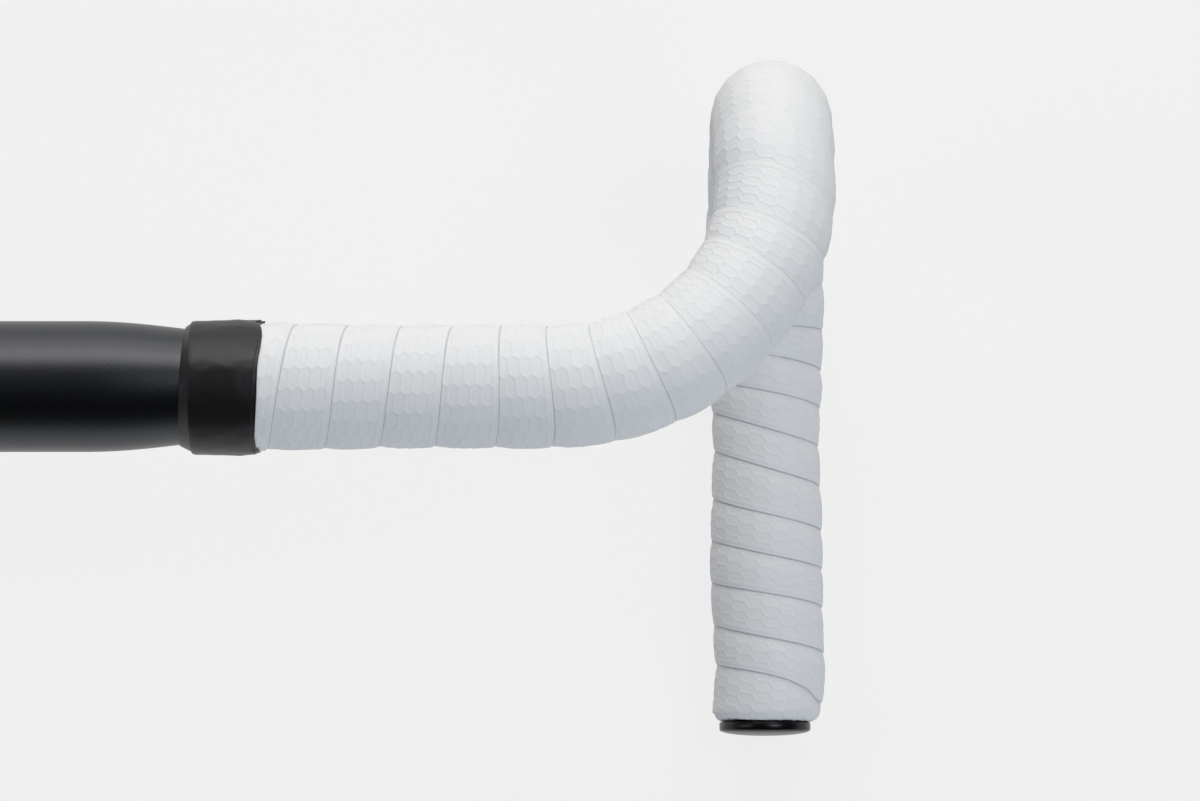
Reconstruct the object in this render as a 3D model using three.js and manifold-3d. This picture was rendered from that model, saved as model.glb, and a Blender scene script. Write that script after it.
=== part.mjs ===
// A drop handlebar for a road bicycle, wrapped in embossed bar tape.
// Millimetres, +Z up, +Y forward, +X to the rider's right.
// The origin is the middle of the stem clamp section, on the axis of the bar.
// s is the distance along the bar's axis from that middle to a bar end.
import * as THREE from 'three';
import Module from 'manifold-3d';
import { mergeVertices } from 'three/addons/utils/BufferGeometryUtils.js';

// The bar
const halfWidth = 209.6; // middle of the bar to the axis of each drop
const clampDiameter = 31.8; // round section that the stem holds
const clampLength = 84; // before the taper starts on each side
const taperLength = 49;
const gripDiameter = 23.8;
const barWall = 2;
const bendRadius = 52.8; // first part of the bend from the tops, on the axis
const bendTurn = THREE.MathUtils.degToRad(49); // how far that part turns
const easeRadius = 61.5; // rest of the bend, into the ramp
const rampAngle = THREE.MathUtils.degToRad(27); // ramp below the level
const hookRadius = 39.5; // front of the hook
const hookAngle = THREE.MathUtils.degToRad(100); // where the two hook radii meet, below the level
const heelRadius = 57; // bottom of the hook
const dropLength = 93.6; // straight part of the drop

// The white tape
const gap = 0.3; // between pieces that touch
const tapeStart = 67.5; // cut end of the tape, from the middle of the bar
const tapeWidth = 30;
const tapeEndBuild = 1.8; // thickness of the wrap at the cut end
const tapeFirstBuild = 3.5; // where the turns bunch up over the taper
const tapeTopsBuild = 3;
const tapeBunchBuild = 3.7; // the turns bunch up inside the end of the bend
const tapeHookBuild = 3.2;
const tapeHeelBuild = 4;
const tapeDropBuild = 3;
const lipHeight = 0.55; // step at the edge of each turn
const lipSlope = 0.25; // length of that step along the bar
const crownShare = 0.4; // place of each turn's full height, as a share of the pitch
const firstEdge = 79.3; // first edge line, at the front of the bar
const pitchTops = 13.2; // spacing of the edge lines
const pitchBend = 13.1;
const pitchDrop = 11.6;
const leanAtBend = 3; // how far the turns lean as they near the bend
const leanOnDrop = 1.3;
const foldThickness = 1.6; // tape folded over the bar end
const foldRound = 3.2; // rounding of the fold
const tuckThickness = 0.9; // tape squeezed between the plug and the bar
const tuckDepth = 14;

// The finishing tape
const bandStart = 64; // from the middle of the bar
const bandEnd = 84.5;
const bandPly = 0.3; // one layer of vinyl
const bandStagger = 1.1; // the upper layer stops short of the lower one

// The end plug
const capDiameter = 24;
const capRim = 1.1; // straight side of the cap
const domeHeight = 2.9;
const stemDepth = 16; // reach into the bar, from the end of the bar
const stemWall = 1.5;
const ribHeight = 0.8;
const ribPitch = 3;
const ribCount = 4;
const slotWidth = 1.8;
const slotDepth = 10;
const slotCount = 2; // each slot crosses the stem

// Facets
const sides = 16;
const bendStep = THREE.MathUtils.degToRad(11.5);

const gripRadius = gripDiameter / 2;
const boreRadius = gripRadius - barWall;
const taperStart = clampLength / 2;
const taperEnd = taperStart + taperLength;
const rampDirection = new THREE.Vector3(0, Math.cos(rampAngle), -Math.sin(rampAngle));
const hookAxis = new THREE.Vector3(-1, 0, 0);

const black = (color, roughness, metalness) => new THREE.MeshStandardMaterial({ color, roughness, metalness });
const barMaterial = black(0x232326, 0.42, 0.6);
const bandMaterial = black(0x2b2929, 0.5, 0);
const plugMaterial = black(0x18181a, 0.3, 0);
const tapeMaterial = new THREE.MeshStandardMaterial({ color: 0xe6e7e8, roughness: 0.62, metalness: 0 });

const wasm = await Module();
wasm.setup();

// The axis of the right half of the bar, as straight runs and arcs end to end.
function makePath() {
  const runs = [];
  let at = {
    point: new THREE.Vector3(0, 0, 0),
    tangent: new THREE.Vector3(1, 0, 0),
    front: new THREE.Vector3(0, 1, 0),
    top: new THREE.Vector3(0, 0, 1),
  };
  let start = 0;
  const add = (length, radius, axis) => {
    const run = { start, length, radius, axis, ...at };
    runs.push(run);
    at = along(run, length);
    start += length;
  };
  const bendAxis = at.tangent.clone().cross(rampDirection).normalize();
  add(halfWidth - easeRadius - (bendRadius - easeRadius) * Math.sin(bendTurn));
  add(bendRadius * bendTurn, bendRadius, bendAxis);
  add(easeRadius * (Math.PI / 2 - bendTurn), easeRadius, bendAxis);
  add(hookRadius * (hookAngle - rampAngle), hookRadius, hookAxis);
  add(heelRadius * (Math.PI - hookAngle), heelRadius, hookAxis);
  add(dropLength);
  return runs;
}

// Point and section directions at a distance into one run. They turn with the bar and never twist.
function along(run, distance) {
  const { point, tangent, front, top, radius, axis } = run;
  if (!axis) {
    return { point: point.clone().addScaledVector(tangent, distance), tangent, front, top };
  }
  const angle = distance / radius;
  const inward = axis.clone().cross(tangent).multiplyScalar(radius);
  const centre = point.clone().add(inward);
  const turn = (vector) => vector.clone().applyAxisAngle(axis, angle);
  return { point: centre.sub(turn(inward)), tangent: turn(tangent), front: turn(front), top: turn(top) };
}

const path = makePath();
const barEnd = path.at(-1).start + path.at(-1).length;
const bendStart = path[1].start;
const hookStart = path[3].start;
const dropStart = path[5].start;

// The section at s. A negative s is on the left half, the mirror image of the right.
function sectionAt(s) {
  const reach = Math.abs(s);
  const run = path.findLast((each) => each.start <= reach) ?? path[0];
  return along(run, reach - run.start);
}

// A point of the section at s, at an angle from the front over the top.
function pointAt(s, radius, angle) {
  const { point, front, top } = sectionAt(s);
  const place = point.clone();
  place.addScaledVector(front, radius * Math.cos(angle));
  place.addScaledVector(top, radius * Math.sin(angle));
  if (s < 0) place.x = -place.x;
  return place;
}

function interpolate(s, points) {
  const next = points.findIndex(([place]) => place > s);
  if (next === 0) return points[0][1];
  if (next < 0) return points.at(-1)[1];
  const [place0, value0] = points[next - 1];
  const [place1, value1] = points[next];
  return THREE.MathUtils.lerp(value0, value1, (s - place0) / (place1 - place0));
}

function barRadius(s) {
  const share = THREE.MathUtils.smoothstep(Math.abs(s), taperStart, taperEnd);
  return THREE.MathUtils.lerp(clampDiameter / 2, gripRadius, share);
}

function tapeRadius(s) {
  const build = interpolate(s, [
    [tapeStart, tapeEndBuild],
    [tapeStart + tapeWidth * 0.4, tapeFirstBuild],
    [taperEnd, tapeFirstBuild],
    [taperEnd + tapeWidth * 0.8, tapeTopsBuild],
    [bendStart, tapeTopsBuild],
    [(bendStart + hookStart) / 2, tapeTopsBuild],
    [hookStart - tapeWidth * 0.6, tapeBunchBuild],
    [hookStart + tapeWidth * 0.4, tapeHookBuild],
    [dropStart - tapeWidth * 1.5, tapeHookBuild],
    [dropStart - tapeWidth * 0.5, tapeHeelBuild],
    [dropStart + tapeWidth * 0.5, tapeDropBuild],
  ]);
  return barRadius(s) + build;
}

// Stations along the bar that its outside, its bore and the tape's bore share.
function stations() {
  const places = [0, taperStart / 2, taperStart];
  const taperSteps = 5;
  for (let i = 1; i <= taperSteps; i++) places.push(taperStart + taperLength * i / taperSteps);
  for (const run of path) {
    const steps = run.axis ? Math.ceil(run.length / run.radius / bendStep) : 1;
    for (let i = 0; i < steps; i++) {
      const place = run.start + run.length * i / steps;
      if (place > taperEnd + 1) places.push(place);
    }
  }
  places.push(barEnd);
  return places;
}

// Vertices and triangles gathered for one closed mesh.
class Shell {
  constructor() {
    this.points = [];
    this.triangles = [];
  }

  add(point) {
    this.points.push(point);
    return this.points.length - 1;
  }

  triangle(a, b, c) {
    this.triangles.push([a, b, c]);
  }

  // Six times the volume, which is negative when the faces point in.
  signedVolume() {
    const cross = new THREE.Vector3();
    let sum = 0;
    for (const [a, b, c] of this.triangles) {
      sum += cross.crossVectors(this.points[b], this.points[c]).dot(this.points[a]);
    }
    return sum;
  }

  geometry() {
    const flip = this.signedVolume() < 0;
    const index = this.triangles.flatMap(([a, b, c]) => (flip ? [a, c, b] : [a, b, c]));
    const geometry = new THREE.BufferGeometry();
    geometry.setAttribute('position', new THREE.Float32BufferAttribute(this.points.flatMap((p) => p.toArray()), 3));
    geometry.setIndex(index);
    geometry.computeVertexNormals();
    return geometry;
  }
}

// A closed profile of [s, radius] points carried round the axis of the bar.
function sleeve(profile) {
  const shell = new Shell();
  const rings = profile.map(([s, radius]) => {
    const ring = [];
    for (let i = 0; i < sides; i++) ring.push(shell.add(pointAt(s, radius, -2 * Math.PI * i / sides)));
    return ring;
  });
  rings.forEach((ring, k) => {
    const next = rings[(k + 1) % rings.length];
    for (let i = 0; i < sides; i++) {
      const j = (i + 1) % sides;
      shell.triangle(ring[i], ring[j], next[i]);
      shell.triangle(ring[j], next[j], next[i]);
    }
  });
  return shell.geometry();
}

// One bent tube, open at both ends.
function handlebarTube() {
  const half = stations();
  const places = [...half.slice(1).reverse().map((s) => -s), ...half];
  const outside = places.map((s) => [s, barRadius(s)]);
  const bore = places.map((s) => [s, barRadius(s) - barWall]).reverse();
  return sleeve([...outside, ...bore]);
}

// Edge line of the wound strip, one place for every facet of every turn.
function edgeLine() {
  const places = [];
  for (let s = firstEdge; s < barEnd; ) {
    places.push(s);
    const pitch = interpolate(s, [[bendStart, pitchTops], [hookStart, pitchBend], [dropStart, pitchDrop]]);
    s += pitch / sides;
  }
  return places;
}

// The turns lean forward as the hand winding nears the bend, and come square again in it.
function lean(s) {
  return interpolate(s, [
    [firstEdge + tapeWidth * 0.4, 0],
    [bendStart, leanAtBend],
    [bendStart + tapeWidth * 0.5, leanAtBend / 4],
    [hookStart, 0],
    [dropStart, leanOnDrop],
  ]);
}

// One strip wound from the bar end towards the stem. Each turn laps the one before it, so the
// outside rises to a lip at every edge line and steps down there towards the bar end. The strip
// is folded over the end of the bar and tucked into its bore.
function woundTape(side) {
  const shell = new Shell();
  const edges = edgeLine();
  const foldEnd = barEnd + foldThickness;
  const lastLip = foldEnd - foldRound - 2 * lipSlope;
  const endRadius = tapeRadius(barEnd);
  const tuckOuter = boreRadius - gap;
  const tuckInner = tuckOuter - tuckThickness;
  const boreStations = stations().filter((s) => s > tapeStart + 1 && s < barEnd).reverse();

  const chains = [];
  for (let i = 0; i < sides; i++) {
    const angle = -2 * Math.PI * i / sides;
    const chain = [];
    const put = (rank, s, radius) => {
      chain.push({ rank, index: shell.add(pointAt(side * s, radius, angle)) });
    };
    put(-Infinity, tapeStart, tapeRadius(tapeStart));
    put(-Infinity, bandEnd - tapeWidth / 3, tapeRadius(bandEnd - tapeWidth / 3));
    for (let turn = 0; turn * sides + i < edges.length; turn++) {
      const n = turn * sides + i;
      const edge = edges[n] - lean(edges[n]) * Math.cos(angle);
      const pitch = (edges[n + sides] ?? edges[n] + pitchDrop) - edges[n];
      const lip = lipHeight * Math.min(1, n / sides);
      const crown = edge + lipSlope + pitch * crownShare;
      if (edge < lastLip) {
        put(4 * turn, edge, tapeRadius(edge));
        put(4 * turn + 1, edge + lipSlope, tapeRadius(edge) - Math.max(lip, 0.02));
      }
      if (crown < lastLip) put(4 * turn + 2, crown, tapeRadius(crown));
    }
    put(Infinity, foldEnd - foldRound, endRadius);
    put(Infinity, foldEnd - foldRound * 0.3, endRadius - foldRound * 0.3);
    put(Infinity, foldEnd, endRadius - foldRound);
    put(Infinity, foldEnd, tuckInner);
    put(Infinity, barEnd - tuckDepth, tuckInner);
    put(Infinity, barEnd - tuckDepth, tuckOuter);
    put(Infinity, barEnd + gap, tuckOuter);
    put(Infinity, barEnd + gap, gripRadius + gap);
    for (const s of boreStations) put(Infinity, s, barRadius(s) + gap);
    put(Infinity, tapeStart, barRadius(tapeStart) + gap);
    chain.push({ rank: Infinity, index: chain[0].index });
    chains.push(chain);
  }
  for (let i = 0; i < sides; i++) {
    const last = i === sides - 1;
    zip(shell, chains[i], chains[last ? 0 : i + 1], last ? 4 : 0);
  }
  return shell.geometry();
}

// Triangles between two neighbouring chains. Points of equal rank face each other. After the last
// facet of a turn the neighbour belongs to the next turn, so its ranks are one turn ahead.
function zip(shell, left, right, ahead) {
  let a = 0;
  let b = 0;
  while (a < left.length - 1 || b < right.length - 1) {
    const leftLeft = left.length - 1 - a;
    const rightLeft = right.length - 1 - b;
    const leftRank = leftLeft > 0 ? left[a + 1].rank : null;
    const rightRank = rightLeft > 0 ? right[b + 1].rank - ahead : null;
    let goLeft;
    if (leftRank === null || rightRank === null) goLeft = rightRank === null;
    else if (leftRank === rightRank) goLeft = leftLeft >= rightLeft;
    else goLeft = leftRank < rightRank;
    if (goLeft) {
      shell.triangle(left[a].index, right[b].index, left[a + 1].index);
      a += 1;
    } else {
      shell.triangle(left[a].index, right[b].index, right[b + 1].index);
      b += 1;
    }
  }
}

// Two turns of vinyl tape over the cut end of the white tape, part of it on the bare bar.
function finishingTape(side) {
  const stepStart = tapeStart - 2 * gap;
  const under = (s) => (s < tapeStart - gap ? barRadius(s) : tapeRadius(s)) + gap;
  const middle = (tapeStart + bandEnd) / 2;
  const lower = [bandStart, stepStart, tapeStart, middle, bandEnd];
  const inside = lower.map((s) => [s, under(s)]);
  const outside = [
    [bandEnd, under(bandEnd) + bandPly],
    [bandEnd - bandStagger, under(bandEnd - bandStagger) + bandPly],
    [bandEnd - bandStagger - gap, under(bandEnd - bandStagger) + 2 * bandPly],
    [middle, under(middle) + 2 * bandPly],
    [tapeStart + 1, under(tapeStart + 1) + 2 * bandPly],
    [bandStart + bandStagger + gap, under(bandStart) + 2 * bandPly],
    [bandStart + bandStagger, under(bandStart + bandStagger) + bandPly],
    [bandStart, under(bandStart) + bandPly],
  ];
  return sleeve([...inside, ...outside].map(([s, radius]) => [side * s, radius]));
}

function toManifold(geometry) {
  const bare = geometry.clone();
  bare.deleteAttribute('normal');
  bare.deleteAttribute('uv');
  const merged = mergeVertices(bare, 1e-4);
  const mesh = new wasm.Mesh({
    numProp: 3,
    vertProperties: new Float32Array(merged.attributes.position.array),
    triVerts: new Uint32Array(merged.index.array),
  });
  return new wasm.Manifold(mesh);
}

function fromManifold(solid) {
  const mesh = solid.getMesh();
  const geometry = new THREE.BufferGeometry();
  geometry.setAttribute('position', new THREE.BufferAttribute(mesh.vertProperties, 3));
  geometry.setIndex(new THREE.BufferAttribute(mesh.triVerts, 1));
  geometry.computeVertexNormals();
  return geometry;
}

// A domed cap on a hollow ribbed stem, moulded in one piece. The slots let the stem squeeze in.
// Its own +Y points out of the bar, and y = 0 is the end of the bar.
function endPlug() {
  const seat = foldThickness + gap;
  const crest = boreRadius - 2 * gap - tuckThickness;
  const root = crest - ribHeight;
  const core = root - stemWall;
  const capRadius = capDiameter / 2;
  const top = seat + capRim;
  const profile = [[core, -stemDepth], [root, -stemDepth]];
  for (let i = 0; i < ribCount; i++) {
    const y = -stemDepth + 1 + i * ribPitch;
    profile.push([root, y], [crest, y + ribPitch * 0.55], [root, y + ribPitch * 0.7]);
  }
  profile.push([root, seat], [capRadius, seat], [capRadius, top]);
  const domeSteps = 5;
  for (let i = 1; i < domeSteps; i++) {
    const angle = Math.PI / 2 * i / domeSteps;
    profile.push([capRadius * Math.cos(angle), top + domeHeight * Math.sin(angle)]);
  }
  profile.push([0, top + domeHeight], [0, seat - stemWall], [core, seat - stemWall], [core, -stemDepth]);
  const lathe = new THREE.LatheGeometry(profile.map(([r, y]) => new THREE.Vector2(r, y)), sides);
  let plug = toManifold(lathe);
  for (let i = 0; i < slotCount; i++) {
    const slot = new THREE.BoxGeometry(3 * crest, 2 * slotDepth, slotWidth);
    slot.translate(0, -stemDepth, 0);
    slot.rotateY(Math.PI * (i + 0.25) / slotCount);
    plug = plug.subtract(toManifold(slot));
  }
  return fromManifold(plug);
}

const group = new THREE.Group();

function piece(name, geometry, material) {
  const mesh = new THREE.Mesh(geometry, material.clone());
  mesh.name = name;
  group.add(mesh);
  return mesh;
}

piece('handlebar_tube', handlebarTube(), barMaterial);
for (const [label, side] of [['right', 1], ['left', -1]]) {
  piece(`tape_${label}`, woundTape(side), tapeMaterial);
  piece(`finishing_tape_${label}`, finishingTape(side), bandMaterial);
  const plug = piece(`end_plug_${label}`, endPlug(), plugMaterial);
  const { point, tangent } = sectionAt(barEnd);
  plug.position.set(side * point.x, point.y, point.z);
  plug.quaternion.setFromUnitVectors(new THREE.Vector3(0, 1, 0), tangent);
}

export default group;
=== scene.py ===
import bpy
import bmesh
import math
from mathutils import Matrix, Vector, noise


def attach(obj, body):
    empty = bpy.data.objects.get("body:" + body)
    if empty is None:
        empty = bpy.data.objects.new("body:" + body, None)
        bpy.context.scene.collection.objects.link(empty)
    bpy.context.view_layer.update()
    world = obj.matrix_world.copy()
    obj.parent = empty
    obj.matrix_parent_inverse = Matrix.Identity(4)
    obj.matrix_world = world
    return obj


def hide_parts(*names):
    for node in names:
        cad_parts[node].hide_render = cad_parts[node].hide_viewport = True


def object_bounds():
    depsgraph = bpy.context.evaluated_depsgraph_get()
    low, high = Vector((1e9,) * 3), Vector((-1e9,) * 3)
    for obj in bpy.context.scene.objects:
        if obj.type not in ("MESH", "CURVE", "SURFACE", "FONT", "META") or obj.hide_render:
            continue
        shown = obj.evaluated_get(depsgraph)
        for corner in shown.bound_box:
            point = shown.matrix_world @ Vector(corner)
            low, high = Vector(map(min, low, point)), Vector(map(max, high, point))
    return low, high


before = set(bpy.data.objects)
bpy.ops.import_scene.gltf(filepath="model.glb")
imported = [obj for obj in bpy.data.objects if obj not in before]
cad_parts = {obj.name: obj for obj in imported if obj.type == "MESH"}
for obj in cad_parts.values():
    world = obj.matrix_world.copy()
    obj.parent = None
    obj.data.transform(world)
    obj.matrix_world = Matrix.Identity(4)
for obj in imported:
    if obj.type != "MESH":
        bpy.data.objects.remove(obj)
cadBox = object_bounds()
mm = 0.001

# The bar. Every piece is placed by a distance along its axis, from the middle of the bar.
bar = {
    "halfWidth": 209.6 * mm,  # middle of the bar to the axis of a drop
    "clampRadius": 15.9 * mm,
    "taperStart": 42 * mm,
    "taperLength": 49 * mm,
    "gripRadius": 11.9 * mm,
    "wall": 2 * mm,
    "bendRadius": 52.8 * mm,  # first part of the bend
    "bendTurn": math.radians(49),
    "easeRadius": 61.5 * mm,  # rest of the bend, into the ramp
    "rampAngle": math.radians(27),
    "hookRadius": 39.5 * mm,
    "hookAngle": math.radians(100),  # where the front of the hook meets the heel
    "heelRadius": 57 * mm,
    "dropLength": 93.6 * mm,
    "facets": 72,
    "fineStep": 3.5 * mm,  # between sections over the tapers
    "straightSteps": 8,  # sections along each straight run
    "turnStep": math.radians(6),  # between sections round a bend
    "leastStep": 2 * mm,  # no section closer than this after a taper
    "gap": 0.3 * mm,  # between pieces that touch
}


def toLinear(hexColour):
    channels = [int(hexColour[i:i + 2], 16) / 255 for i in (0, 2, 4)]
    return (*[c / 12.92 if c <= 0.04045 else ((c + 0.055) / 1.055) ** 2.4 for c in channels], 1)


def interpolate(place, points):
    if place <= points[0][0]:
        return points[0][1]
    for (start, low), (end, high) in zip(points, points[1:]):
        if place < end:
            return low + (high - low) * (place - start) / (end - start)
    return points[-1][1]


def smoothStep(value, low, high):
    share = min(max((value - low) / (high - low), 0), 1)
    return share * share * (3 - 2 * share)


# Camera, at the photograph's angle: above the right half of the bar and a little behind it.
camera = {
    "aim": Vector((166.1, -3.4, 0)) * mm,
    "distance": 1250 * mm,
    "tilt": math.radians(5),
    "lens": 154.5,
    "sensor": 36,
}


def makeCamera():
    data = bpy.data.cameras.new("photoCamera")
    data.lens = camera["lens"]
    data.sensor_width = camera["sensor"]
    data.clip_start = 0.01
    data.clip_end = 100
    holder = bpy.data.objects.new("photoCamera", data)
    tilt = camera["tilt"]
    holder.location = camera["aim"] + Vector((0, -math.sin(tilt), math.cos(tilt))) * camera["distance"]
    holder.rotation_euler = (tilt, 0, 0)
    bpy.context.scene.collection.objects.link(holder)
    bpy.context.scene.camera = holder
    print("camera placed")


def along(run, distance):
    point, tangent, front, top = run["at"]
    if run["axis"] is None:
        return point + tangent * distance, tangent, front, top
    turn = Matrix.Rotation(distance / run["radius"], 3, run["axis"])
    inward = run["axis"].cross(tangent) * run["radius"]
    return point + inward - turn @ inward, turn @ tangent, turn @ front, turn @ top


def makePath():
    ramp = Vector((0, math.cos(bar["rampAngle"]), -math.sin(bar["rampAngle"])))
    at = (Vector((0, 0, 0)), Vector((1, 0, 0)), Vector((0, 1, 0)), Vector((0, 0, 1)))
    bendAxis = at[1].cross(ramp).normalized()
    hookAxis = Vector((-1, 0, 0))
    bend, turn, ease = bar["bendRadius"], bar["bendTurn"], bar["easeRadius"]
    plan = [
        (bar["halfWidth"] - ease - (bend - ease) * math.sin(turn), None, None),
        (bend * turn, bend, bendAxis),
        (ease * (math.pi / 2 - turn), ease, bendAxis),
        (bar["hookRadius"] * (bar["hookAngle"] - bar["rampAngle"]), bar["hookRadius"], hookAxis),
        (bar["heelRadius"] * (math.pi - bar["hookAngle"]), bar["heelRadius"], hookAxis),
        (bar["dropLength"], None, None),
    ]
    runs = []
    start = 0
    for length, radius, axis in plan:
        run = {"start": start, "length": length, "radius": radius, "axis": axis, "at": at}
        runs.append(run)
        at = along(run, length)
        start += length
    return runs


path = makePath()
barEnd = path[-1]["start"] + path[-1]["length"]
bendStart = path[1]["start"]
hookStart = path[3]["start"]
dropStart = path[5]["start"]
taperEnd = bar["taperStart"] + bar["taperLength"]


# Point, tangent, front and top of the section at s, on the right half.
def sectionAt(s):
    for run in reversed(path):
        if s >= run["start"]:
            return along(run, s - run["start"])
    return along(path[0], s)


def barRadius(s):
    share = smoothStep(abs(s), bar["taperStart"], taperEnd)
    return bar["clampRadius"] + (bar["gripRadius"] - bar["clampRadius"]) * share


def addNode(tree, kind, inputs=None, **settings):
    node = tree.nodes.new(kind)
    for name, value in settings.items():
        setattr(node, name, value)
    for name, value in (inputs or {}).items():
        if isinstance(value, bpy.types.NodeSocket):
            tree.links.new(value, node.inputs[name])
        else:
            node.inputs[name].default_value = value
    return node


def newMaterial(name, colour, roughness, **settings):
    material = bpy.data.materials.new(name)
    material.use_nodes = True
    tree = material.node_tree
    shader = tree.nodes["Principled BSDF"]
    shader.inputs["Base Color"].default_value = toLinear(colour)
    shader.inputs["Roughness"].default_value = roughness
    for socket, value in settings.items():
        shader.inputs[socket].default_value = value
    return material, tree, shader


def finishPiece(name, bm, material, slot, *nodes, normals=True, crease=None):
    if normals:
        bmesh.ops.recalc_face_normals(bm, faces=bm.faces)
    if crease:
        for edge in bm.edges:
            edge.smooth = edge.calc_face_angle(0) < crease
    for face in bm.faces:
        face.smooth = True
    mesh = bpy.data.meshes.new(name)
    bm.to_mesh(mesh)
    bm.free()
    mesh.materials.append(material)
    piece = bpy.data.objects.new(name, mesh)
    bpy.context.scene.collection.objects.link(piece)
    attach(piece, "root")
    if nodes:
        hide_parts(*nodes)
    triangles = sum(len(p.vertices) - 2 for p in mesh.polygons)
    print(f"{name}: {triangles} triangles")
    return piece


def sectionMatrix(s, radius):
    point, tangent, front, top = sectionAt(abs(s))
    if s < 0:
        flip = Matrix.Diagonal((-1, 1, 1))
        point, tangent, front, top = flip @ point, -(flip @ tangent), flip @ front, flip @ top
    columns = Matrix((front * radius, top * radius, tangent)).transposed()
    return Matrix.Translation(point) @ columns.to_4x4()


def barStations():
    fine = bar["fineStep"]
    places = [i * fine for i in range(math.ceil(taperEnd / fine))] + [taperEnd]
    for run in path:
        steps = bar["straightSteps"]
        if run["axis"] is not None:
            steps = math.ceil(run["length"] / run["radius"] / bar["turnStep"])
        places += [run["start"] + run["length"] * i / steps for i in range(steps)]
    apart = taperEnd + bar["leastStep"]
    return sorted({round(s, 6) for s in places if s <= taperEnd or s > apart} | {barEnd})


# One bent tube from end to end, with its thick clamp section in the middle.
def makeBar(material):
    half = barStations()
    places = [-s for s in reversed(half[1:])] + half
    rings = [(s, barRadius(s)) for s in places]
    rings += [(s, barRadius(s) - bar["wall"]) for s in reversed(places)]
    bm = bmesh.new()
    bmesh.ops.create_circle(bm, segments=bar["facets"], radius=1, matrix=Matrix.Identity(4))
    current = sectionMatrix(*rings[0])
    bmesh.ops.transform(bm, matrix=current, verts=bm.verts)
    firstEdges = edges = bm.edges[:]
    for ring in rings[1:]:
        new = bmesh.ops.extrude_edge_only(bm, edges=edges)["geom"]
        edges = [item for item in new if isinstance(item, bmesh.types.BMEdge)]
        verts = [item for item in new if isinstance(item, bmesh.types.BMVert)]
        following = sectionMatrix(*ring)
        bmesh.ops.transform(bm, matrix=following @ current.inverted(), verts=verts)
        current = following
    bmesh.ops.bridge_loops(bm, edges=firstEdges + edges)
    return finishPiece("bareBar", bm, material, "bar", "handlebar_tube")


# Black vinyl finishing tape, two layers wound over the cut end of the white tape.
band = {
    "start": 65.05 * mm,
    "end": 83.8 * mm,
    "startSlant": 0.75 * mm,  # the first layer's edge lies further out at the front than at the rear
    "secondStart": 67.1 * mm,
    "secondEnd": 82.9 * mm,
    "ply": 0.3 * mm,
    "rounding": 0.07 * mm,
    "squeeze": 0.15 * mm,  # how far it presses the foam in
    "squeezeFront": 0.3 * mm,  # and how much more of that at the front
    "slopeBefore": 1.4 * mm,  # it slopes up to the foam from here before the foam's end
    "slopeAfter": 1.2 * mm,
    "middle": 75 * mm,  # one more point along its inside
    "lift": 0.05 * mm,  # clear of what lies under it
    "steps": 144,
    "across": 20,
    "crease": 0.7,  # edges sharper than this stay sharp
    "wrinkle": 0.16 * mm,
    "lip": 0.5 * mm,  # how far a corner lifts
    "lipWidth": 0.13,
    "lipReach": 5 * mm,
    "lips": ((0, 1), (3.02, 0.4)),  # where they are, and their share of the lift
}
# waves in its surface: how many round it, how many along it, an offset for each side, and a share
wrinkles = ((2.1, 120, 14, 1), (8, 260, 0, 0.5), (1.2, 420, 5, 0.3))
# where its outer edge runs: angle from the front over the top, and place in mm
bandEdge = [
    (-3.1, 83.5), (-1.6, 83.8), (-0.12, 84.5), (0.04, 84.8), (0.16, 83.9), (0.26, 83.5), (0.5, 84.3),
    (0.73, 84.7), (1, 84.5), (1.19, 84.1), (1.34, 83.9), (1.83, 83.7), (2.2, 83.3), (2.55, 82.9),
    (2.8, 83.0), (2.98, 83.6), (3.1, 83.5),
]

# White bar tape: one embossed strip for each side, wound from the bar end towards the stem.
tape = {
    "start": 66.5 * mm,
    "surfaceStart": 69.5 * mm,  # the strip is modelled from here on, the rest is under the band
    "width": 30 * mm,
    "endBuild": 1.8 * mm,
    "firstBuild": 3.5 * mm,
    "topsBuild": 3 * mm,
    "bunchBuild": 3.7 * mm,  # the turns bunch up inside the end of the bend
    "hookBuild": 3.2 * mm,
    "heelBuild": 4 * mm,
    "dropBuild": 3 * mm,
    "lipHeight": 0.38 * mm,
    "lipShare": 0.6,  # share of a turn, from its edge, that stands at full height
    "bulge": 0.2 * mm,  # of each turn between its edges
    "firstEdge": 79.3 * mm,
    "pitchTops": 13.2 * mm,
    "pitchBend": 13.1 * mm,
    "pitchHook": 12.8 * mm,
    "pitchDrop": 11.6 * mm,
    "foldThickness": 1.6 * mm,
    "foldRound": 3.2 * mm,
    "foldTuck": 1.2 * mm,  # how far it is modelled into the bar end
    "bow": 2.4 * mm,
    "handUneven": 0.12 * mm,
    "fade": 3 * mm,  # its relief fades out over this stretch before the band's edge
    "recover": 5 * mm,  # and the foam rises again over this stretch after it
    "waviness": 0.22 * mm,  # of the edges, as a hand lays them
    "steps": 16,
}
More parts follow.
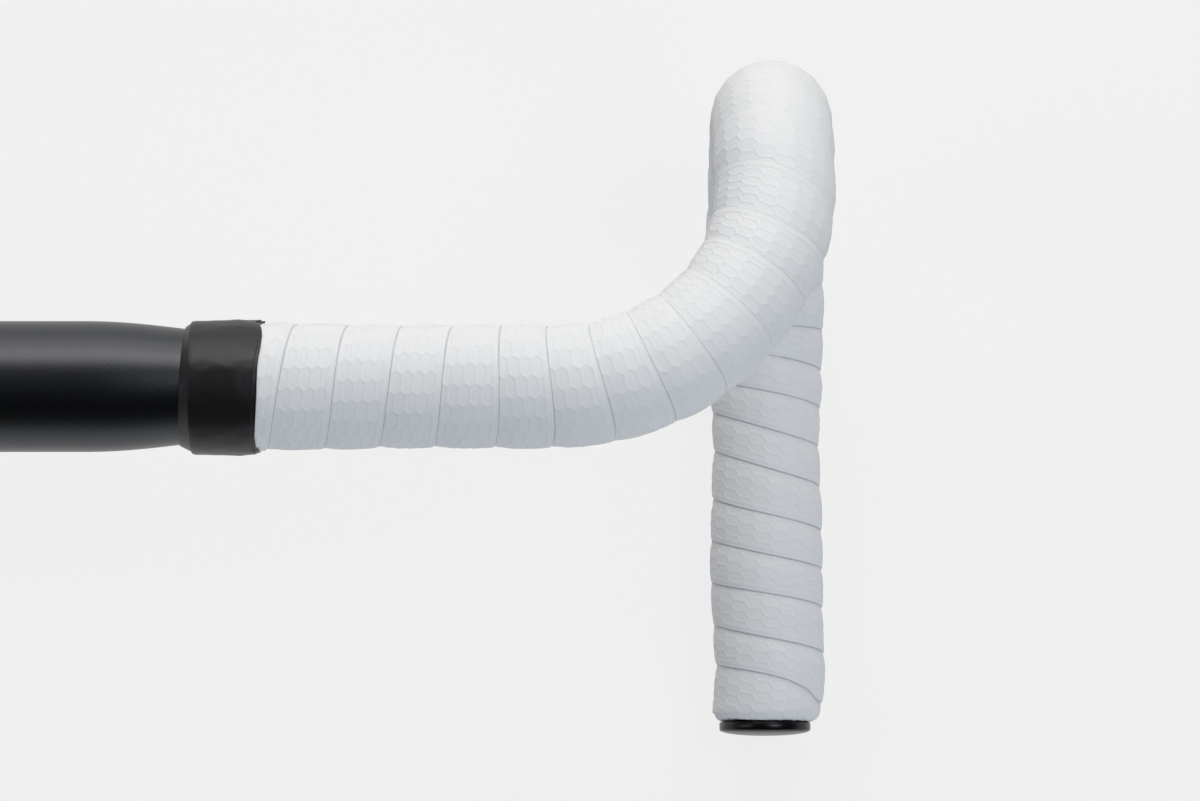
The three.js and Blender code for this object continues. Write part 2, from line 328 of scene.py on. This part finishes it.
emboss = {
    "columnPitch": 5.2 * mm,  # along the strip
    "rowPitch": 2.75 * mm,  # across the strip
    "tip": 3.36 * mm,  # half length of a cell, point to point
    "shoulder": 1.84 * mm,
    "slope": 0.4 * mm,
    "depth": 0.21 * mm,
    "crown": 0.04 * mm,  # how much the middle of a floor stands up, as the tape curves
    "narrow": 0.9,  # a floor is this much narrower than its cell leaves room for
    "sag": 0.13 * mm,  # of the ridge in the middle of a long side
    "rounding": 0.45 * mm,  # how far a cell's floor stays short of its tips
    "margin": 1.4 * mm,  # plain edge of the strip
    "marginDepth": 0.08 * mm,
    "columnsTops": 18.6,  # columns in one turn: the strip is stretched more on the tops
    "columnsHook": 19.7,
    "columnsDrop": 20.8,
    "turnsTops": 12,  # turns over the tops and the ramp
    "turnsHook": 10,
    "turnsDrop": 18,
    "turnsBefore": 1.2,  # how much strip is modelled ahead of the first edge line
    "turnsAfter": 2.4,  # and past the bar end
    "pairs": 14,  # pairs of columns copied at once
    "rows": 7,
    "hidden": 2.4 * mm,  # how far the pattern runs on under the next turn
}
# the plain margin with its fine groove, the rounded edge and the cut: in from the edge, and up, in mm
marginRows = (
    (1.15, 0), (0.74, 0.01), (0.6, -0.08), (0.46, 0), (0.14, -0.02), (0.03, -0.13), (0, -0.42), (0.02, -0.92),
)


# How the foam is pressed in, and how the drop's wrap stands off to the outside: place and amount in mm.
pressed = [
    (185, 0), (205, -0.4), (225, -0.8), (243, -0.3), (255, 0), (370, 0), (380, -0.3), (396, -1), (415, -0.3),
    (430, -0.05), (446, -0.4), (454, -0.4), (467, -0.5),
]
aside = [(375, 0), (380, 0.5), (430, 0.5), (446, 1), (454, 1.5), (463, 1), (467, 0.3)]


def tapeRadius(s):
    build = interpolate(s, [
        (tape["start"], tape["endBuild"]),
        (tape["start"] + tape["width"] * 0.4, tape["firstBuild"]),
        (taperEnd, tape["firstBuild"]),
        (taperEnd + tape["width"] * 0.8, tape["topsBuild"]),
        (bendStart, tape["topsBuild"]),
        ((bendStart + hookStart) / 2, tape["topsBuild"]),
        (hookStart - tape["width"] * 0.6, tape["bunchBuild"]),
        (hookStart + tape["width"] * 0.4, tape["hookBuild"]),
        (dropStart - tape["width"] * 1.5, tape["hookBuild"]),
        (dropStart - tape["width"] * 0.5, tape["heelBuild"]),
        (dropStart + tape["width"] * 0.5, tape["dropBuild"]),
    ])
    return barRadius(s) + build + interpolate(s / mm, pressed) * mm


# Places of the strip's edge along the bar, a fixed number of them in each turn.
def edgeTable():
    places = []
    s = tape["firstEdge"]
    while s < barEnd + 4 * tape["pitchDrop"]:
        places.append(s)
        pitch = interpolate(s, [
            (bendStart, tape["pitchTops"]),
            (hookStart, tape["pitchBend"]),
            ((hookStart + dropStart) / 2, tape["pitchHook"]),
            (dropStart, tape["pitchDrop"]),
        ])
        s += pitch / tape["steps"]
    return places


edgePlaces = edgeTable()
foldStart = barEnd + tape["foldThickness"] - tape["foldRound"]
foldEnd = foldStart + tape["foldRound"] * math.pi / 2 + tape["foldTuck"]


# Place of the strip's edge after so many turns from its first line.
def edgeAt(turns):
    index = turns * tape["steps"]
    if index < 0:
        return tape["firstEdge"] + turns * tape["pitchTops"]
    whole = min(int(index), len(edgePlaces) - 2)
    return edgePlaces[whole] + (edgePlaces[whole + 1] - edgePlaces[whole]) * (index - whole)


# As the hand laid it: how far each turn is shifted, and how far it leans forward, in mm.
handLay = [
    (0.75, -0.2, -0.5), (1.75, -0.14, 0.1), (2.75, -0.3, 0.22), (3.75, -0.57, 1), (4.75, -0.13, 2.06),
    (5.75, -1.2, 3.4), (6.75, -3, 3.2), (7.75, -5.1, 2.8), (8.75, -6.5, 3.1), (9.75, -6.3, 2.8),
    (10.75, -6.7, 1.6), (11.75, -9.3, 2), (12.75, -8.3, -2), (13.75, -7, -1), (15, -5, 0), (17, -2, 0.9),
    (19, 1.4, 1.2), (21.25, 4.6, 1.2), (22.25, 4.6, 1.3), (23.25, 2.9, 1.4), (24.25, 0.35, 2.4),
    (25.25, -1, 2.5), (26.25, 0.13, 1.6), (27.25, -1.2, 1.7), (28.25, -2.2, 0.7), (29.25, -2, 1.1),
    (30, -2.4, 1.6), (30.125, -3, 1.6), (30.25, -4, 1.6), (30.31, -4.2, 1.6), (30.375, -4, 1.6),
    (30.44, -2.9, 1.6), (30.5, -0.8, 1.6), (31.5, -1.5, 1.3),
]
bows = [(6.25, 0), (7.5, 1), (11.5, 1), (13.5, 0)]  # share of the bow after so many turns
shifts = [(turns, shift * mm) for turns, shift, lean in handLay]
leans = [(turns, lean * mm) for turns, shift, lean in handLay]


# Place of the edge line after so many turns, with its shift and lean. Round the bend it also bows:
# it lies further out at both sides than on top.
def laidEdge(turns):
    angle = 2 * math.pi * turns
    bow = interpolate(turns, bows) * tape["bow"]
    lay = interpolate(turns, shifts) - interpolate(turns, leans) * math.cos(angle)
    return edgeAt(turns) + lay + bow * (math.sin(angle) + 1)


# Turns wound so far at x along the strip. The columns in a turn change twice.
def turnsAt(x):
    tops = emboss["turnsTops"]
    hook = tops + emboss["turnsHook"]
    drop = hook + emboss["turnsDrop"]
    topsEnd = tops * emboss["columnsTops"]
    hookEnd = topsEnd + emboss["turnsHook"] * emboss["columnsHook"]
    dropEnd = hookEnd + emboss["turnsDrop"] * emboss["columnsDrop"]
    table = [(-2 * emboss["columnsTops"], -2), (topsEnd, tops), (hookEnd, hook), (dropEnd, drop)]
    return interpolate(x / emboss["columnPitch"], table)


# How far the edge strays from its line there.
def waveAt(turns, side):
    return noise.noise(Vector((turns * 2.1, 7.3 * side, 0.5))) * tape["waviness"] * 2


# How far the band presses the foam in at an angle round the bar.
def squeezeAt(angle):
    return band["squeeze"] + band["squeezeFront"] * math.cos(angle)


# Where a point of the flat strip lies once wound: x along the strip, y in from its edge, z its height.
# Also its place along the bar, and how far it lies under the next turn.
def woundPlace(flat, side):
    turns = turnsAt(flat.x)
    angle = -2 * math.pi * turns
    edge = laidEdge(turns)
    pitch = edge - laidEdge(turns - 1)
    s = edge + waveAt(turns, side) - flat.y
    share = flat.y / pitch
    drop = tape["lipHeight"] * smoothStep(share, tape["lipShare"], 1.05)
    uneven = noise.noise(Vector((turns * 3.7, flat.y * 60, 3.1 * side))) * tape["handUneven"]
    rise = tape["bulge"] * math.sin(math.pi * min(max(share, 0), 1)) + uneven
    height = (flat.z + rise) * smoothStep(s, band["end"] - tape["fade"], band["end"]) - drop
    height -= squeezeAt(angle) * (1 - smoothStep(s, band["end"], band["end"] + tape["recover"]))
    if s <= foldStart:
        place, radius = s, tapeRadius(s) + height
    else:
        arc = min((s - foldStart) / tape["foldRound"], math.pi / 2)
        past = max(s - foldStart - tape["foldRound"] * math.pi / 2, 0)
        reach = tape["foldRound"] + height
        place = foldStart + reach * math.sin(arc)
        radius = tapeRadius(barEnd) - tape["foldRound"] + reach * math.cos(arc) - past
    point, tangent, front, top = sectionAt(place)
    spot = point + (front * math.cos(angle) + top * math.sin(angle)) * radius
    spot.x += interpolate(s / mm, aside) * mm
    covered = edge - pitch + waveAt(turns - 1, side) - s
    return Vector((spot.x * side, spot.y, spot.z)), s, covered


def repeatGeometry(bm, step, count):
    source = bm.verts[:] + bm.edges[:] + bm.faces[:]
    for i in range(1, count):
        copy = bmesh.ops.duplicate(bm, geom=source)["geom"]
        verts = [item for item in copy if isinstance(item, bmesh.types.BMVert)]
        bmesh.ops.translate(bm, vec=step * i, verts=verts)


# One long cell with pointed ends: a sloping wall down to a sunken floor.
def hexCell(bm, centre):
    ring = bmesh.ops.create_circle(bm, cap_ends=True, segments=6, radius=1)["verts"]
    bmesh.ops.rotate(bm, verts=ring, matrix=Matrix.Rotation(math.pi / 2, 3, "Z"))
    for vert in ring:
        sign = 1 if vert.co.x > 0 else -1
        if abs(vert.co.y) < 0.1:
            vert.co = Vector((sign * emboss["tip"], 0, 0))
        else:
            row = emboss["rowPitch"] / 2 * (1 if vert.co.y > 0 else -1)
            vert.co = Vector((sign * emboss["shoulder"], row, 0))
    sides = list({edge for vert in ring for edge in vert.link_edges})
    floor = ring[0].link_faces[0]
    bmesh.ops.subdivide_edges(bm, edges=sides, cuts=1)
    bmesh.ops.inset_individual(bm, faces=[floor], thickness=emboss["slope"], depth=-emboss["depth"])
    for vert in floor.verts:
        vert.co.y *= emboss["narrow"]
        if abs(vert.co.y) < 0.1 * mm:
            vert.co.x -= math.copysign(emboss["rounding"], vert.co.x)
    for edge in floor.edges:
        edge.smooth = False
    hub = bmesh.ops.poke(bm, faces=[floor])["verts"][0]
    hub.co.z += emboss["crown"]
    reached = set()
    stack = [hub]
    while stack:
        vert = stack.pop()
        if vert not in reached:
            reached.add(vert)
            stack += [edge.other_vert(vert) for edge in vert.link_edges]
            if abs(vert.co.x) < 0.1 * mm and abs(vert.co.y) > emboss["rowPitch"] * 0.49:
                vert.co.z -= emboss["sag"]
    bmesh.ops.translate(bm, vec=centre, verts=list(reached))


# The cells of the whole strip, laid flat.
def flatStrip():
    bm = bmesh.new()
    column, row = emboss["columnPitch"], emboss["rowPitch"]
    for i in range(emboss["rows"]):
        hexCell(bm, Vector((0, i * row, 0)))
        hexCell(bm, Vector((column, (i + 0.5) * row, 0)))
    pairs = emboss["pairs"]
    repeatGeometry(bm, Vector((2 * column, 0, 0)), pairs)
    start = -emboss["turnsBefore"] * emboss["columnsTops"] * column
    last = barEnd + emboss["turnsAfter"] * tape["pitchDrop"]
    blocks = 0
    while edgeAt(turnsAt(start + blocks * pairs * 2 * column)) < last:
        blocks += 1
    repeatGeometry(bm, Vector((2 * column * pairs, 0, 0)), blocks)
    bmesh.ops.translate(bm, vec=Vector((start, 0, 0)), verts=bm.verts)
    bmesh.ops.remove_doubles(bm, verts=bm.verts, dist=0.02 * mm)
    return bm


# Cuts the cells off in a straight line, and adds the plain margin and the cut edge.
def trimStrip(bm):
    bmesh.ops.bisect_plane(
        bm, geom=bm.verts[:] + bm.edges[:] + bm.faces[:], dist=1e-6,
        plane_co=(0, emboss["margin"], 0), plane_no=(0, -1, 0), clear_outer=True)
    line = [vert for vert in bm.verts if abs(vert.co.y - emboss["margin"]) < 1e-6]
    for vert in line:
        vert.co.z = -emboss["marginDepth"] * 0.6
    onLine = set(line)
    rim = [edge for edge in bm.edges if edge.is_boundary and all(vert in onLine for vert in edge.verts)]
    for y, z in marginRows:
        new = bmesh.ops.extrude_edge_only(bm, edges=rim)["geom"]
        rim = [item for item in new if isinstance(item, bmesh.types.BMEdge)]
        for item in new:
            if isinstance(item, bmesh.types.BMVert):
                item.co.y = y * mm
                item.co.z = z * mm - emboss["marginDepth"]


def makeTape(side, label, material):
    bm = flatStrip()
    trimStrip(bm)
    layer = bm.loops.layers.uv.new("strip")
    for face in bm.faces:
        for loop in face.loops:
            loop[layer].uv = loop.vert.co.xy
    lost = []
    toSeam = {}
    for vert in bm.verts:
        flat = vert.co.copy()
        place, s, covered = woundPlace(flat, side)
        if s < tape["surfaceStart"] or s > foldEnd or covered > emboss["hidden"]:
            lost.append(vert)
        vert.co = place
        toSeam[vert] = covered
    # how far each point lies under the next turn, which places the painted shade in the crease
    seam = bm.loops.layers.uv.new("seam")
    for face in bm.faces:
        for loop in face.loops:
            loop[seam].uv = (toSeam[loop.vert], 0)
    bmesh.ops.delete(bm, geom=lost, context="VERTS")
    if side < 0:
        bmesh.ops.reverse_faces(bm, faces=bm.faces)
    return finishPiece(f"barTape_{label}", bm, material, "tape", f"tape_{label}", normals=False)


def bandUnder(s, angle):
    blend = smoothStep(s, tape["start"] - band["slopeBefore"], tape["start"] + band["slopeAfter"])
    foam = tapeRadius(max(s, tape["start"])) - squeezeAt(angle)
    return barRadius(s) + (foam - barRadius(s)) * blend + band["lift"]


# Foot, top and rounded corner of one layer's edge.
def plyEdge(edge, inward, foot):
    top = foot + band["ply"]
    return [(edge, foot + 0.02 * mm), (edge, top - band["rounding"]), (edge + inward * band["rounding"], top)]


def bandProfile():
    start, end, ply, rounding = band["start"], band["end"], band["ply"], band["rounding"]
    first, last = band["secondStart"], band["secondEnd"]
    across = band["across"]
    slopeStart, slopeEnd = tape["start"] - band["slopeBefore"], tape["start"] + band["slopeAfter"]
    inside = [(s, 0) for s in (start, slopeStart, slopeEnd, band["middle"], end)]
    outside = plyEdge(end, -1, 0) + [(last + rounding, ply)] + plyEdge(last, -1, ply)
    flat = first - last + 2 * rounding
    outside += [(last - rounding + flat * i / across, 2 * ply) for i in range(1, across)]
    outside += plyEdge(first, 1, ply)[::-1] + [(first - rounding, ply)] + plyEdge(start, 1, 0)[::-1]
    return inside + outside


# Where a point of the band lies along the bar, once its edges run as they were cut and wound.
def bandPlace(s, angle):
    first = band["secondStart"]
    if s < first:
        edge = band["start"] + band["startSlant"] * math.cos(angle)
        return first + (s - first) * (first - edge) / (first - band["start"])
    shift = interpolate(angle, bandEdge) * mm - band["end"]
    return s + shift * smoothStep(s, (first + band["end"]) / 2, band["secondEnd"])


# Soft wrinkles round the band, lumps where the foam shows through, and the lifted corners.
def bandLift(s, angle, side):
    front, up = math.cos(angle), math.sin(angle)
    lift = 0
    for around, lengthways, offset, share in wrinkles:
        spot = Vector((front * around, up * around, s * lengthways + offset * side))
        lift += band["wrinkle"] * share * noise.noise(spot)
    reach = smoothStep(s, band["end"] - band["lipReach"], band["end"])
    for place, share in band["lips"]:
        lift += band["lip"] * share * math.exp(-((angle - place) / band["lipWidth"]) ** 2) * reach
    return lift


def makeBand(side, label, material):
    core = 10 * mm
    bm = bmesh.new()
    profile = [bm.verts.new((s, core + height, 0)) for s, height in bandProfile()]
    chain = [bm.edges.new((profile[i], profile[(i + 1) % len(profile)])) for i in range(len(profile))]
    bmesh.ops.spin(bm, geom=profile + chain, cent=(0, 0, 0), axis=(1, 0, 0), angle=2 * math.pi,
                   steps=band["steps"], use_merge=True)
    for vert in bm.verts:
        height = math.hypot(vert.co.y, vert.co.z) - core
        angle = math.atan2(vert.co.z, vert.co.y)
        s = bandPlace(vert.co.x, angle)
        radius = bandUnder(s, angle) + height
        if height > 0.01 * mm:
            radius += bandLift(s, angle, side)
        vert.co = Vector((s * side, radius * math.cos(angle), radius * math.sin(angle)))
    return finishPiece(f"finishingBand_{label}", bm, material, "finishing_tape",
                       f"finishing_tape_{label}", crease=band["crease"])


# Push-in end plug: a domed cap on a hollow ribbed stem.
plug = {
    "capRadius": 12 * mm,
    "capRim": 1.9 * mm,
    "domeHeight": 1.6 * mm,
    "stemDepth": 16 * mm,
    "stemWall": 1.5 * mm,
    "ribHeight": 0.8 * mm,
    "ribPitch": 3 * mm,
    "ribCount": 4,
    "firstRib": 1 * mm,  # from the end of the stem
    "ribRise": 0.55,  # share of the pitch over which a rib rises
    "ribFall": 0.7,  # and where it has dropped again
    "rounding": 0.15 * mm,
    "domeSteps": 12,
    "domePower": 0.9,  # under 1 fills the dome out towards its rim
    "tuck": 0.9 * mm,  # thickness of the tape tucked in round the stem
    "steps": 96,
}


def makePlug(side, label, material):
    seat = tape["foldThickness"] + bar["gap"]
    crest = bar["gripRadius"] - bar["wall"] - 2 * bar["gap"] - plug["tuck"]
    root = crest - plug["ribHeight"]
    core = root - plug["stemWall"]
    depth, radius, rim = plug["stemDepth"], plug["capRadius"], plug["capRim"]
    profile = [(0, seat - plug["stemWall"]), (core, seat - plug["stemWall"]), (core, -depth), (root, -depth)]
    for i in range(plug["ribCount"]):
        y = -depth + plug["firstRib"] + i * plug["ribPitch"]
        rise, fall = plug["ribPitch"] * plug["ribRise"], plug["ribPitch"] * plug["ribFall"]
        profile += [(root, y), (crest, y + rise), (root, y + fall)]
    rounding = plug["rounding"]
    profile += [(root, seat), (radius - rounding, seat), (radius, seat + rounding), (radius, seat + rim)]
    for i in range(1, plug["domeSteps"]):
        angle = math.pi / 2 * i / plug["domeSteps"]
        out = radius * math.cos(angle) ** plug["domePower"]
        profile.append((out, seat + rim + plug["domeHeight"] * math.sin(angle)))
    profile.append((0, seat + rim + plug["domeHeight"]))
    bm = bmesh.new()
    verts = [bm.verts.new((r, y, 0)) for r, y in profile]
    chain = [bm.edges.new(pair) for pair in zip(verts, verts[1:])]
    bmesh.ops.spin(bm, geom=verts + chain, cent=(0, 0, 0), axis=(0, 1, 0), angle=2 * math.pi,
                   steps=plug["steps"], use_merge=True)
    bmesh.ops.remove_doubles(bm, verts=bm.verts, dist=0.001 * mm)
    point, tangent, front, top = sectionAt(barEnd)
    turn = Vector((0, 1, 0)).rotation_difference(tangent).to_matrix().to_4x4()
    place = Matrix.Translation(Vector((point.x * side, point.y, point.z)))
    bmesh.ops.transform(bm, matrix=place @ turn, verts=bm.verts)
    return finishPiece(f"endPlug_{label}", bm, material, "plug", f"end_plug_{label}")


# A fine uneven surface: noise of a real size, pressed in or raised by a real depth.
def addGrain(tree, shader, place, size, strength, depth, detail=2.0):
    grain = addNode(tree, "ShaderNodeTexNoise", {"Vector": place, "Scale": 1 / size, "Detail": detail})
    height = grain.outputs["Fac"]
    bump = addNode(tree, "ShaderNodeBump", {"Height": height, "Strength": strength, "Distance": depth})
    tree.links.new(bump.outputs["Normal"], shader.inputs["Normal"])


def objectPlace(tree):
    return addNode(tree, "ShaderNodeTexCoord").outputs["Object"]


# Anodised aluminium, dyed black: a fine matt grain, drawn coarser than it is, and a soft highlight.
def anodisedAluminium():
    material, tree, shader = newMaterial("anodisedAluminium", "070708", 0.36, **{
        "Specular IOR Level": 0.72, "Specular Tint": (0.9, 0.94, 1, 1)})
    addGrain(tree, shader, objectPlace(tree), 0.45 * mm, 0.45, 0.06 * mm)
    return material


# Polyurethane foam bar tape, embossed and skinned: soft, nearly matt, with a fine pore, and
# a thin grey line of painted shade in the crease where the next turn laps over it.
foam = {
    "skin": "e9eaeb",
    # painted shade: the grey that the skin is mixed to in the crease under the next turn's edge
    "seam": "c3c6c9",
    "seamShadeStart": -0.4 * mm,  # the painted shade begins this far from the next turn's edge
    "seamShadeFull": -0.1 * mm,
}


def foamTape():
    material, tree, shader = newMaterial("polyurethaneFoamTape", foam["skin"], 0.55)
    # painted shade: the skin is greyed near the next turn's edge, where the crease lies in shade
    seam = addNode(tree, "ShaderNodeUVMap", uv_map="seam")
    split = addNode(tree, "ShaderNodeSeparateXYZ", {0: seam.outputs["UV"]})
    reach = {0: split.outputs["X"], 1: foam["seamShadeStart"], 2: foam["seamShadeFull"], 3: 0.0, 4: 1.0}
    near = addNode(tree, "ShaderNodeMapRange", reach)
    shade = addNode(tree, "ShaderNodeMix", {"Factor": near.outputs[0]}, data_type="RGBA")
    shade.inputs[6].default_value = toLinear(foam["skin"])
    shade.inputs[7].default_value = toLinear(foam["seam"])
    tree.links.new(shade.outputs[2], shader.inputs["Base Color"])
    strip = addNode(tree, "ShaderNodeUVMap", uv_map="strip")
    addGrain(tree, shader, strip.outputs["UV"], 0.3 * mm, 0.15, 0.05 * mm)
    return material


# Vinyl finishing tape: satin, slightly rumpled.
def vinylTape():
    material, tree, shader = newMaterial("vinylTape", "181516", 0.4, **{
        "Specular IOR Level": 0.42, "Specular Tint": (0.95, 0.96, 1, 1)})
    addGrain(tree, shader, objectPlace(tree), 1.2 * mm, 0.3, 0.15 * mm, detail=4.0)
    return material


# Moulded nylon: black, satin to glossy.
def mouldedNylon():
    material, tree, shader = newMaterial("mouldedNylon", "09090b", 0.3, **{"Specular IOR Level": 0.28})
    addGrain(tree, shader, objectPlace(tree), 0.5 * mm, 0.08, 0.05 * mm)
    return material


studio = {
    "paper": "fbfbfb",
    "paperGlow": 0.83,  # share of the floor's brightness that shadows don't touch
    "bounce": "c4c4c4",  # the paper as the lamps light it
    "keyTint": (1, 0.972, 0.943),
    "fillTint": (0.87, 0.93, 1),
    "sky": 0.5,  # strength of the world at the horizon
    "skyHeight": 0.35,  # how far up it fades to nothing, as a share of straight up
    "floorSize": 14,
    "floorGap": 0.4 * mm,  # under the lowest point of the solids
    "aim": (0.12, 0, -0.03),  # what the lamps point at
    "lamps": {
        "keyLow": {"place": (0.15, 1.7, 0.28), "size": (2.2, 0.4), "power": 6.6, "tint": "keyTint"},
        "keyHigh": {"place": (0.15, 1.35, 1.0), "size": (1.7, 0.9), "power": 18.2, "tint": "keyTint"},
        "left": {"place": (-1.5, 0.2, 1.2), "size": (0.9, 1.2), "power": 6.1, "tint": "fillTint"},
        "high": {"place": (1.1, 0.3, 1.9), "size": (0.8, 0.8), "power": 11.0, "tint": "fillTint"},
        "rear": {"place": (0.15, -1.6, 0.95), "size": (2.6, 1.5), "power": 7.4, "tint": "fillTint"},
        "rearLow": {"place": (0.15, -1.7, 0.3), "size": (2.6, 0.6), "power": 3.4, "tint": "fillTint"},
        "rearRight": {"place": (1.5, -1.2, 0.7), "size": (0.9, 0.9), "power": 6.5, "tint": "fillTint"},
    },
}


def areaLamp(name, settings):
    data = bpy.data.lights.new(name, "AREA")
    data.shape = "RECTANGLE"
    data.size, data.size_y = settings["size"]
    data.energy = settings["power"]
    data.color = studio[settings["tint"]]
    lamp = bpy.data.objects.new(name, data)
    lamp.location = settings["place"]
    aim = Vector(studio["aim"]) - lamp.location
    lamp.rotation_euler = aim.to_track_quat("-Z", "Y").to_euler()
    lamp.visible_glossy = not name.startswith("rear")  # the photo's gloss shows no lamp behind
    bpy.context.scene.collection.objects.link(lamp)


# Matt paper: lit by the lamps, and partly bright by itself where it is only looked at.
def palePaper():
    material, tree, shader = newMaterial("palePaper", studio["bounce"], 0.9)
    shader.inputs["Specular IOR Level"].default_value = 0.1
    rays = addNode(tree, "ShaderNodeLightPath")
    looked = rays.outputs["Is Camera Ray"]
    for kind in ("Is Glossy Ray", "Is Transmission Ray"):
        either = addNode(tree, "ShaderNodeMath", {0: looked, 1: rays.outputs[kind]}, operation="MAXIMUM")
        looked = either.outputs[0]
    share = addNode(tree, "ShaderNodeMath", {0: looked, 1: studio["paperGlow"]}, operation="MULTIPLY")
    glow = addNode(tree, "ShaderNodeEmission", {"Color": toLinear(studio["paper"]), "Strength": 1.0})
    parts = {0: share.outputs[0], 1: shader.outputs[0], 2: glow.outputs[0]}
    mix = addNode(tree, "ShaderNodeMixShader", parts)
    tree.links.new(mix.outputs[0], tree.nodes["Material Output"].inputs["Surface"])
    return material


def makeStudio():
    bm = bmesh.new()
    bmesh.ops.create_grid(bm, x_segments=1, y_segments=1, size=studio["floorSize"])
    bmesh.ops.translate(bm, vec=(0, 0, cadBox[0][2] - studio["floorGap"]), verts=bm.verts)
    mesh = bpy.data.meshes.new("studioFloor")
    bm.to_mesh(mesh)
    bm.free()
    mesh.materials.append(palePaper())
    floor = bpy.data.objects.new("studioFloor", mesh)
    bpy.context.scene.collection.objects.link(floor)
    for name, settings in studio["lamps"].items():
        areaLamp(name, settings)
    # pale at the horizon, dark overhead
    world = bpy.data.worlds.new("paleStudio")
    world.use_nodes = True
    tree = world.node_tree
    direction = addNode(tree, "ShaderNodeTexCoord")
    split = addNode(tree, "ShaderNodeSeparateXYZ", {0: direction.outputs["Generated"]})
    fade = {0: split.outputs["Z"], 1: 0.0, 2: studio["skyHeight"], 3: studio["sky"], 4: 0.0}
    sky = addNode(tree, "ShaderNodeMapRange", fade)
    tree.links.new(sky.outputs[0], tree.nodes["Background"].inputs["Strength"])
    tree.nodes["Background"].inputs["Color"].default_value = (*studio["fillTint"], 1)
    bpy.context.scene.world = world
    print("studio lit")


makeCamera()
makeBar(anodisedAluminium())
whiteTape, blackVinyl, blackNylon = foamTape(), vinylTape(), mouldedNylon()
for label, side in (("right", 1), ("left", -1)):
    makeTape(side, label, whiteTape)
    makeBand(side, label, blackVinyl)
    makePlug(side, label, blackNylon)
makeStudio()

bpy.context.scene.view_settings.view_transform = "Standard"
